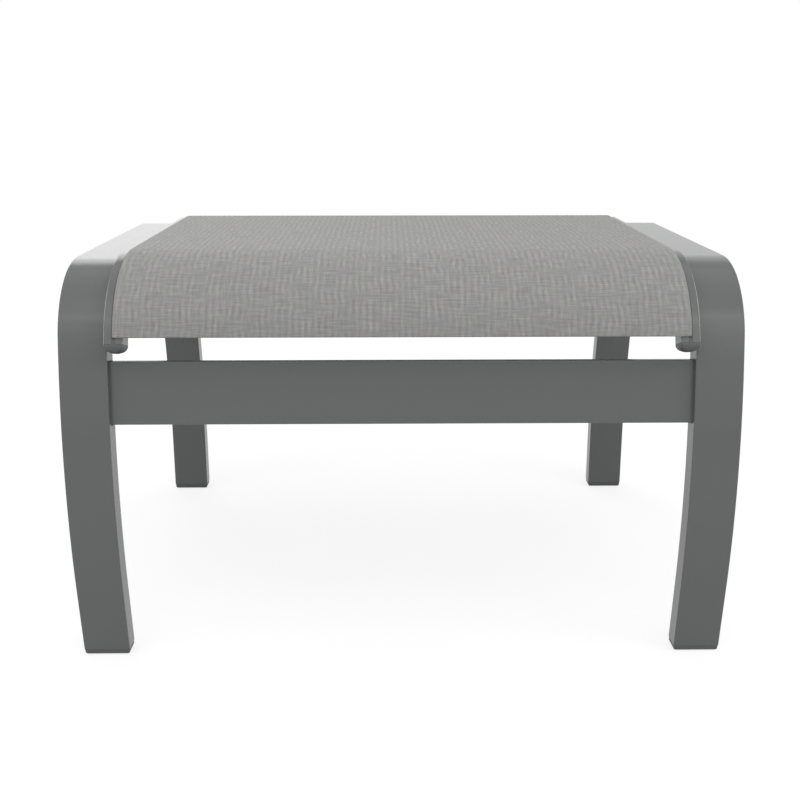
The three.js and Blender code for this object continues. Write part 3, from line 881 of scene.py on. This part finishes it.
class OTTOMAN_OT_rails(Maker, bpy.types.Operator):
    """Bend the grooved rails and bore them for the bolts"""

    bl_idname = "ottoman.rails"
    bl_label = "Grooved Rails"

    def execute(self, context):
        scene = context.scene
        rails, bore = scene.ottoman_rails, scene.ottoman_fittings.bore
        cuts = half_cuts(rail_cuts(scene, RAIL_STEPS, rails.tail))
        for label, _ in SIDES:
            node = label + "_sling_rail"
            low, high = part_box(node)
            loops = rail_section(rails, (low.x + high.x) / 2, high.x - low.x)
            holes = {"From": low.x - MM, "To": high.x + MM, "Radius": bore}
            runs = [(bender(), rail_profile(scene)), (borer(), at_bolts(scene, holes))]
            stock = straight_stock(loops, cuts)
            make("grooved_rail_" + label, "frame_coat", stock, [node], runs)
        return {"FINISHED"}


def placed(shell, centre, stop, sign):
    """Rings of (u, v, run) set past a rail's end, so that their faces point outwards."""
    return [[(centre + u, sign * (stop + run), v) for u, v, run in ring[::-sign]] for ring in shell]


def cap_rings(rails, width):
    """A stem in the chamber, a shoulder against the rail and a dome, as (u, v, run)."""
    stem = chamber(rails, width, rails.slack)
    rings = [[(u, v, run) for u, v in stem] for run in (-rails.tail, MM * 0.1)]
    levels = [(MM * 0.1, MM * 0.2), (MM * 0.3, 0.0)]
    for step in range(1, 13):
        angle = QUARTER * step / 12
        run = rails.cap_length - rails.cap_round * (1 - math.sin(angle))
        levels.append((run, rails.cap_round * (1 - math.cos(angle))))
    for run, inset in levels:
        span = width - 2 * inset
        radius = min(max(rails.corner, inset * 0.8), span / 2 - EDGE_RUN)
        outline = round_box(span, rails.depth - 2 * inset, radius, (0.0, -rails.depth / 2))
        rings.append([(u, v, run) for u, v in outline])
    return rings


def tongue(rails, start):
    """A keyhole plug from the hem's end to the cap, which fills the groove."""
    near = MM * 0.1
    neck, radius = rails.mouth / 2 - near, rails.groove - near
    waist = math.asin(neck / radius)
    centre, turn = (0.0, -rails.groove_depth), FULL - 2 * waist
    section = [(neck, -near), (-neck, -near), *arc(centre, radius, QUARTER + waist, turn, 24)]
    return [[(u, v, run) for u, v in section] for run in (start, 3 * near)]


class OTTOMAN_OT_rail_caps(Maker, bpy.types.Operator):
    """Plug the four rail ends with domed caps"""

    bl_idname = "ottoman.rail_caps"
    bl_label = "Rail Caps"

    def execute(self, context):
        scene = context.scene
        rails = scene.ottoman_rails
        start = scene.ottoman_sling.tail - rails.tail + rails.slack
        stop = rail_cuts(scene, 1, rails.tail)[-1]
        for side, _ in SIDES:
            low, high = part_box(side + "_sling_rail")
            centre = (low.x + high.x) / 2
            shells = cap_rings(rails, high.x - low.x), tongue(rails, start)
            for end, sign in ENDS:
                solids = [stacked(placed(shell, centre, stop, sign)) for shell in shells]
                node, runs = f"{end}_{side}_rail_cap", [(bender(), rail_profile(scene))]
                make(f"end_cap_{end}_{side}", "plug_plastic", merged(*solids), [node], runs)
        return {"FINISHED"}


def sling_section(sling, rails, edge):
    """The sheet's outline, and each point's length across the cloth."""
    low = sling.clearance
    top = low + sling.thickness
    neck = sling.neck / 2
    waist = math.asin(neck / sling.hem)
    rounding = sling.thickness
    flat = edge + neck - rounding
    count = round(2 * flat / sling.rib_pitch * RIB_POINTS)
    across = [-flat + 2 * flat * i / count for i in range(count + 1)]

    def rib(u):
        fade = min(1.0, (flat - abs(u)) / sling.rib_pitch)
        return sling.rib_height / 2 * (1 - math.cos(FULL * u / sling.rib_pitch)) * fade

    under = [u for u in across if abs(u) < edge - neck - MM]
    under = [neck - edge, *under, edge - neck]
    loop = [(u, low + (rib(u) if abs(u) < flat - MM * 4 else 0.0)) for u in under]
    tracks = list(under)
    for side, start in ((1, 0.0), (-1, QUARTER)):
        centre, turn = (side * edge, -rails.groove_depth), FULL - 2 * waist
        hem = arc(centre, sling.hem, QUARTER + waist, turn, GROOVE_STEPS)
        shoulder = arc((side * flat, low), rounding, start, QUARTER, 8)
        parts = hem + shoulder if side > 0 else shoulder + hem
        loop += parts
        tracks += wrap(parts, side, flat)
        if side > 0:
            loop += [(u, top - rib(u)) for u in reversed(across[1:-1])]
            tracks += reversed(across[1:-1])
    return loop, tracks


def wrap(parts, side, flat):
    """Lengths across the cloth for the points from the flat round to the hem's end."""
    run = parts[::-side]
    lengths = [flat]
    for a, b in zip(run, run[1:]):
        lengths.append(lengths[-1] + math.dist(a, b))
    return [side * length for length in lengths[::-side]]


class OTTOMAN_OT_sling(Maker, bpy.types.Operator):
    """Stretch the ribbed sling over the rails, with its hems in their grooves"""

    bl_idname = "ottoman.sling"
    bl_label = "Sling"

    def execute(self, context):
        scene = context.scene
        sling, rails = scene.ottoman_sling, scene.ottoman_rails
        edge = middle_of("right_sling_rail").x
        outline, tracks = sling_section(sling, rails, edge)
        centres = [(side * edge, -rails.groove_depth) for side in (-1, 1)]
        inside = sling.hem - sling.hem_wall
        loops = [outline, *(arc(centre, inside, 0.0, FULL, 16)[:0:-1] for centre in centres)]
        cuts = rail_cuts(scene, SLING_STEPS, sling.tail)
        end, round_off = cuts.pop(), sling.edge_round
        roundings = [round_off * (1 - math.sin(QUARTER * k / 4)) for k in range(5)]
        cuts = half_cuts([0.0, cuts[0] / 2] + cuts + [end - r for r in roundings])
        middle = sling.clearance + sling.thickness / 2

        def place(u, v, cut):
            short = round_off - (end - abs(cut))
            if short > 0 and v >= sling.clearance - MM * 0.01:
                squeeze = math.sqrt(max(0.0, 1 - (short / round_off) ** 2))
                v = middle + (v - middle) * max(squeeze, 0.2)
            return (u, cut, v)

        def lay_weave(mesh):
            """Gives every corner its lengths across and along the cloth."""
            layer = [*tracks, *(u for loop in loops[1:] for u, _ in loop)]
            coordinates = [(u, cut) for cut in cuts for u in layer]
            spread = [c for corner in mesh.loops for c in coordinates[corner.vertex_index]]
            mesh.uv_layers.new(name="Weave").data.foreach_set("uv", spread)

        stock = straight_stock(loops, cuts, place)
        runs = [(bender(), rail_profile(scene))]
        make("mesh_sling", "sling_mesh", stock, ["sling_fabric"], runs, lay_weave)
        return {"FINISHED"}


class OTTOMAN_OT_rods(Maker, bpy.types.Operator):
    """Slide a rod into each hem"""

    bl_idname = "ottoman.rods"
    bl_label = "Hem Rods"

    def execute(self, context):
        scene = context.scene
        sling, rails = scene.ottoman_sling, scene.ottoman_rails
        cuts = half_cuts(rail_cuts(scene, SLING_STEPS, sling.tail - sling.rod_inset)[:-1])
        end = cuts[-1] - sling.rod_inset + sling.tail
        cuts = [-end, *(c for c in cuts if abs(c) < end), end]
        for label, _ in SIDES:
            node = label + "_spline"
            centre = (middle_of(node).x, -rails.groove_depth)
            stock = straight_stock([arc(centre, sling.rod, 0.0, FULL, 16)[:-1]], cuts)
            runs = [(bender(), rail_profile(scene))]
            make("hem_rod_" + label, "spline_rod", stock, [node], runs)
        bpy.data.objects["mesh_sling"]
        return {"FINISHED"}


def glide_levels(tubes, fittings):
    """(level, inset from the tube's outline) up a glide: foot, rim, stem and fins."""
    rim, rounding = fittings.glide_inset, fittings.glide_round
    stem, fin = fittings.stem_inset, fittings.fin
    levels = []
    for step in range(7):
        angle = QUARTER * step / 6
        rise = rounding * (1 - math.cos(angle))
        levels.append((rise, rim + rounding * (1 - math.sin(angle))))
    top = tubes.end_level - MM * 0.1
    levels += [(top - MM * 0.6, rim), (top - MM * 0.2, rim + MM * 0.2)]
    levels += [(top, rim + MM * 0.6), (top, stem)]
    for number in (1, 2, 3):
        level = top + number * fittings.stem_length / 4
        levels += [(level, stem), (level, stem - fin), (level + fin * 1.9, stem)]
    return levels + [(top + fittings.stem_length, stem)]


class OTTOMAN_OT_glides(Maker, bpy.types.Operator):
    """Plug the four feet with finned glides"""

    bl_idname = "ottoman.glides"
    bl_label = "Foot Glides"

    def execute(self, context):
        scene = context.scene
        tubes = scene.ottoman_tubes
        heading = tubes.bend_turn + tubes.bow_turn
        depth = tubes.depth / math.sin(heading)
        lean = -1 / math.tan(heading)
        _, away, height = bow_end(scene)
        foot = away - height * lean - depth / 2
        for side, _ in SIDES:
            middle = middle_of(side + "_side_frame").x
            for end, sign in ENDS:
                rings = []
                for level, inset in glide_levels(tubes, scene.ottoman_fittings):
                    size = tubes.width - 2 * inset, depth - 2 * inset
                    corner = max(tubes.corner - inset / 4, 0.0008)
                    outline = round_box(*size, corner, (middle, sign * (foot + lean * level)))
                    rings.append([(x, y, level) for x, y in outline])
                node = f"{end}_{side}_glide"
                make(f"foot_glide_{end}_{side}", "plug_plastic", stacked(rings), [node])
        return {"FINISHED"}


class OTTOMAN_OT_spreaders(Maker, bpy.types.Operator):
    """Set the two spreader bars between the rails"""

    bl_idname = "ottoman.spreaders"
    bl_label = "Spreader Bars"

    def execute(self, context):
        scene = context.scene
        fittings, corner = scene.ottoman_fittings, scene.ottoman_tubes.bar_corner
        width, thickness = fittings.bar_width, fittings.bar_thickness
        level = middle_of("middle_left_rail_bolt").z
        for label, _ in ENDS:
            node = label + "_spreader_bar"
            low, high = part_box(node)
            turned = Matrix.Rotation(-QUARTER, 4, "Z")
            turned.translation = (0.0, (low.y + high.y) / 2, 0.0)
            bar = round_box(width, thickness, corner, (0.0, low.z + thickness / 2))
            height = level + fittings.plate_margin - low.z
            plate = round_box(width, height, fittings.plate_corner, (0.0, low.z + height / 2))
            inside = high.x - fittings.plate
            shells = merged(
                straight_stock([bar], [-inside - MM, inside + MM]),
                straight_stock([plate], [-high.x, -inside]),
                straight_stock([plate], [inside, high.x]),
            )
            make("spreader_bar_" + label, "frame_coat", shells, [node], turned=turned)
        return {"FINISHED"}


def lathe(profile, hexagons, sides=36):
    """A ring or solid along X from (x, radius) points in turn, the first few as hexagons."""
    rings = []
    for number, (x, radius) in enumerate(profile):
        ring = []
        for i in range(sides):
            angle = FULL * i / sides
            reach = radius
            if number < hexagons:
                reach *= math.cos(FULL / 12) / math.cos(angle % (FULL / 6) - FULL / 12)
            ring.append((x, reach * math.cos(angle), reach * math.sin(angle)))
        rings.append(ring)
    if profile[0] != profile[-1]:
        return stacked(rings)
    points, faces = stacked(rings[:-1], closed=False)
    last = len(points) - sides
    faces += [(last + i, last + (i + 1) % sides, (i + 1) % sides, i) for i in range(sides)]
    return points, faces


def bolt(fittings):
    """A domed head with a socket, and a plain shank."""
    low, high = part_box("middle_right_rail_bolt")
    length, seat, head, shank = high.x - low.x, fittings.head_height, fittings.head, fittings.bolt
    socket, bevel, tip = 0.0023, 0.0002, 0.0008
    profile = [(0.0020, 0.0003), (0.0020, socket), (bevel, socket), (0.0, socket + bevel)]
    profile += [(0.0, head * 0.72), (bevel, head * 0.83), (0.0006, head * 0.93)]
    profile += [(0.0011, head), (seat - bevel, head), (seat, head - 0.0003), (seat, shank)]
    profile += [(length - tip, shank), (length, shank - tip)]
    return [(low.x + x, radius) for x, radius in profile]


def washer(fittings):
    low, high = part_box("middle_right_washer")
    bore, rim, bevel = fittings.bore, fittings.washer, 0.0002
    loop = [(low.x, bore), (low.x, rim - bevel), (low.x + bevel, rim)]
    loop += [(high.x - bevel, rim), (high.x, rim - bevel), (high.x, bore)]
    return loop + loop[:1]


def rivet_nut(fittings):
    """A flange outside the tube's wall, and a bulge inside that grips it."""
    low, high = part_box("middle_right_rivet_nut")
    bore, flange, body, bulge, bevel = fittings.bore, 0.0053, 0.0043, 0.0052, 0.0002
    wall, face, end = low.x + 0.0031, low.x + 0.001, high.x - 0.0005
    loop = [(low.x, bore), (low.x, flange - bevel), (low.x + bevel, flange)]
    loop += [(face, flange), (face, body), (wall, body), (wall + 0.0006, bulge - bevel)]
    loop += [(wall + 0.00125, bulge), (wall + 0.0019, bulge - bevel), (wall + 0.0025, body)]
    loop += [(end, body), (high.x, body - 0.0005), (high.x, bore)]
    return loop + loop[:1]


class OTTOMAN_OT_fasteners(Maker, bpy.types.Operator):
    """Fit the bolts, washers and rivet nuts"""

    bl_idname = "ottoman.fasteners"
    bl_label = "Fasteners"

    def execute(self, context):
        scene = context.scene
        fittings = scene.ottoman_fittings
        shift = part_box("middle_right_washer")[0].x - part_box("front_right_washer")[0].x
        for name, node, plate, profile, hexagons in (
            ("rail_bolts", "rail_bolt", shift, bolt(fittings), 4),
            ("rail_washers", "washer", shift, washer(fittings), 0),
            ("rail_rivet_nuts", "rivet_nut", 0.0, rivet_nut(fittings), 0),
        ):
            places = [(place, side) for place in ("front", "middle", "rear") for side, _ in SIDES]
            stood_for = [f"{place}_{side}_{node}" for place, side in places]
            runs = [(fastener_setter(), at_bolts(scene, {"Plate": plate}))]
            make(name, "fastener_steel", lathe(profile, hexagons), stood_for, runs)
        return {"FINISHED"}


# The studio

CAMERA_PLACE = (-0.01295, -1.08438, 0.53500)
CAMERA_DIP, CAMERA_PAN = 0.30213, -0.012012
WHITE = (1.0, 1.0, 1.0, 1.0)
FLOOR_IN_SHINE = 0.78    # how much of the white floor shiny surfaces mirror
FLOOR_RADIUS, FLOOR_POINTS, FLOOR_DROP = 2.4, 64, 0.0003

# Name, place, target, width and height in metres, and radiance on matt and on shiny surfaces.
LAMPS = (
    ("overhead", (0.0, 0.0, 2.3), (0.0, 0.0, 0.2), 2.2, 2.0, 0.51, 0.41),
    ("overhead_front", (0.0, -1.6, 2.2), (0.0, 0.0, 0.2), 2.2, 1.2, 1.46, 0.87),
    ("front", (0.0, -3.0, 1.9), (0.0, 0.0, 0.3), 4.0, 2.0, 0.0, 0.67),
    ("front_low", (0.0, -3.0, 0.37), (0.0, 0.0, 0.3), 4.0, 0.72, 0.0, 0.36),
    ("front_right", (1.6, -2.6, 1.75), (0.0, 0.0, 0.3), 1.6, 2.0, 0.0, 0.32),
    ("rear_left_low", (-1.5, 3.6, 0.87), (-0.3, -0.2, 0.4), 2.2, 0.98, 0.89, 0.89),
    ("rear_left_high", (-1.5, 3.4, 2.4), (-0.3, -0.2, 0.4), 2.2, 2.1, 1.67, 1.62),
    ("rear_right", (1.5, 3.6, 1.75), (0.3, -0.2, 0.4), 2.2, 2.6, 0.38, 0.38),
    ("left", (-2.6, 0.2, 0.9), (0.0, 0.0, 0.4), 2.4, 2.0, 0.0, 3.6),
    ("right", (2.6, 0.2, 0.9), (0.0, 0.0, 0.4), 2.4, 2.0, 0.0, 3.9),
    ("left_high", (-2.2, -1.2, 2.0), (0.0, 0.0, 0.3), 1.4, 1.4, 1.3, 0.42),
    ("right_high", (2.2, -1.2, 2.0), (0.0, 0.0, 0.3), 1.4, 1.4, 2.1, 0.0),
)


def set_camera(scene):
    lens = bpy.data.cameras.new("camera")
    lens.lens = scene.ottoman_stage.lens
    lens.sensor_width = 36.0
    camera = bpy.data.objects.new("camera", lens)
    camera.location = CAMERA_PLACE
    camera.rotation_euler = (QUARTER - CAMERA_DIP, 0.0, CAMERA_PAN)
    scene.collection.objects.link(camera)
    scene.camera = camera


def lay_floor(scene):
    """A floor that the camera sees as white with a faint shadow."""
    finish = bpy.data.materials.new("Studio Floor")
    finish.use_nodes = True
    tree = Tree(finish.node_tree)
    shaded, plain = (
        tree.shade("BsdfDiffuse", {"Color": (grey, grey, grey, 1.0)}) for grey in (0.30, 0.45)
    )
    shine = tree.shade("Emission", {"Strength": scene.ottoman_stage.floor_glow})
    seen = tree.shade("AddShader", {0: shaded, 1: shine})
    ray = tree.shade("LightPath", output="Is Camera Ray")
    shown = tree.math("MAXIMUM", ray, ray["Is Glossy Ray"] * FLOOR_IN_SHINE)
    tree.end_in("Material Output", "Principled BSDF", plain, seen, shown)
    ring = arc((0.0, 0.0), FLOOR_RADIUS, 0.0, FULL, FLOOR_POINTS)[:-1]
    points = [(x, y, -FLOOR_DROP) for x, y in ring]
    floor = new_piece("studio_floor", (points, [tuple(range(FLOOR_POINTS))]), finish)


def set_surroundings(scene):
    world = bpy.data.worlds.new("studio")
    world.use_nodes = True
    scene.world = world
    tree = Tree(world.node_tree)
    plain, seen = (
        tree.shade("Background", {"Color": WHITE, "Strength": strength})
        for strength in (scene.ottoman_stage.ambient, 1.0)
    )
    shown = tree.shade("LightPath", output="Is Camera Ray")
    tree.end_in("World Output", "Background", plain, seen, shown)


def hang_lamp(scene, name, place, target, width, height, *radiances):
    """A panel as one lamp for matt surfaces and, just before it, one that shiny ones mirror."""
    place = Vector(place)
    ahead = (Vector(target) - place).normalized()
    for kind, radiance, lead in zip(("softbox", "gleam"), radiances, (0.0, 0.02)):
        if not radiance:
            continue
        light = bpy.data.lights.new(f"{name}_{kind}", "AREA")
        light.shape = "RECTANGLE"
        light.size, light.size_y = width, height
        light.energy = radiance * math.pi * width * height
        lamp = bpy.data.objects.new(light.name, light)
        lamp.location = place + ahead * lead
        lamp.rotation_euler = ahead.to_track_quat("-Z", "Y").to_euler()
        lamp.visible_camera = False
        lamp.visible_diffuse = kind == "softbox"
        lamp.visible_glossy = kind == "gleam"
        scene.collection.objects.link(lamp)


class OTTOMAN_OT_stage(Maker, bpy.types.Operator):
    """Set up the camera, the floor, the white surroundings and the lamps"""

    bl_idname = "ottoman.stage"
    bl_label = "Stage"

    def execute(self, context):
        scene = context.scene
        set_camera(scene)
        lay_floor(scene)
        set_surroundings(scene)
        for lamp in LAMPS:
            hang_lamp(scene, *lamp)
        scene.view_settings.view_transform = "Standard"
        return {"FINISHED"}


# Panel and registration

MAKERS = (
    OTTOMAN_OT_stage,
    OTTOMAN_OT_side_tubes,
    OTTOMAN_OT_cross_tubes,
    OTTOMAN_OT_rails,
    OTTOMAN_OT_rail_caps,
    OTTOMAN_OT_sling,
    OTTOMAN_OT_rods,
    OTTOMAN_OT_glides,
    OTTOMAN_OT_spreaders,
    OTTOMAN_OT_fasteners,
)


class OTTOMAN_PT_panel(bpy.types.Panel):
    """Lists the ottoman's pieces with their sizes"""

    bl_label = "Ottoman"
    bl_idname = "OTTOMAN_PT_panel"
    bl_space_type = "VIEW_3D"
    bl_region_type = "UI"
    bl_category = "Ottoman"

    def draw(self, context):
        for maker in MAKERS:
            self.layout.operator(maker.bl_idname)
        for name, group in SIZE_GROUPS.items():
            box = self.layout.box()
            box.label(text=group.__doc__)
            for size in group.__annotations__:
                box.prop(getattr(context.scene, name), size)


def register():
    for made in (*SIZE_GROUPS.values(), *MAKERS, OTTOMAN_PT_panel):
        bpy.utils.register_class(made)
    for name, group in SIZE_GROUPS.items():
        setattr(bpy.types.Scene, name, PointerProperty(type=group))


def unregister():
    for name in SIZE_GROUPS:
        delattr(bpy.types.Scene, name)
    for made in (OTTOMAN_PT_panel, *reversed(MAKERS), *reversed(SIZE_GROUPS.values())):
        bpy.utils.unregister_class(made)


def main():
    register()
    for maker in MAKERS:
        _, operator = maker.bl_idname.split(".")
        getattr(bpy.ops.ottoman, operator)()


if __name__ == "__main__":
    main()
